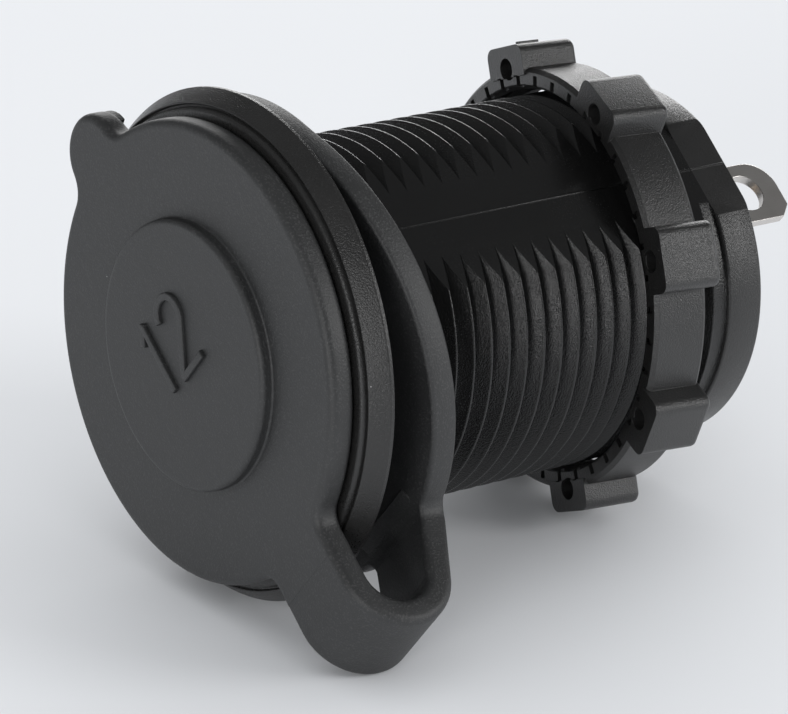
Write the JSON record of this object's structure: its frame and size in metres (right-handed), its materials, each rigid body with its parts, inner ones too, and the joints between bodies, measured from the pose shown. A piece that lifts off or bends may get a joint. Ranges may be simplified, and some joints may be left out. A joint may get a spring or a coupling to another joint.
{
  "type": "panel mount 12 volt power socket",
  "caption": "Panel-mount 12 volt power socket: threaded body with a flange, a ring nut behind it, and a soft cap held by a strap and retaining ring.",
  "frame": {"origin": "centre of the flange's back face, on the axis of the bore", "axes": "+Y from the flange to the terminals along the bore, +Z towards the cap's pull tab, +X to the ground terminal's side"},
  "size_m": [0.0384, 0.0531, 0.0475],
  "materials": {
    "body_nylon": "moulded black nylon, fine grain, slightly glossy",
    "nut_nylon": "moulded black nylon, grainy",
    "cap_rubber": "matte soft black rubber",
    "plated_steel": "nickel-plated sheet, drawn",
    "insulator": "plain pale nylon",
    "contact_brass": "bright brass",
    "terminal_metal": "warm plated sheet, stamped"
  },
  "bodies": {
    "socket": {"socket_body": "body_nylon", "retaining_ring": "cap_rubber", "ground_sleeve": "plated_steel", "contact_insulator": "insulator", "centre_contact": "contact_brass", "tail_washer": "plated_steel", "positive_terminal": "terminal_metal", "ground_terminal": "terminal_metal", "ground_rivet": "plated_steel"},
    "cap": {"cap": "cap_rubber"},
    "nut": {"ring_nut": "nut_nylon"}
  },
  "joints": [
    {"name": "cap_swing", "type": "hinge", "parent": "socket", "child": "cap", "pos_m": [0, -0.0042, -0.021], "axis": [1, 0, 0], "range_deg": [0, 150]},
    {"name": "nut_turn", "type": "hinge", "parent": "socket", "child": "nut", "pos_m": [0, 0.0307, 0], "axis": [0.0568, 0.9941, -0.0924], "continuous": true}
  ]
}
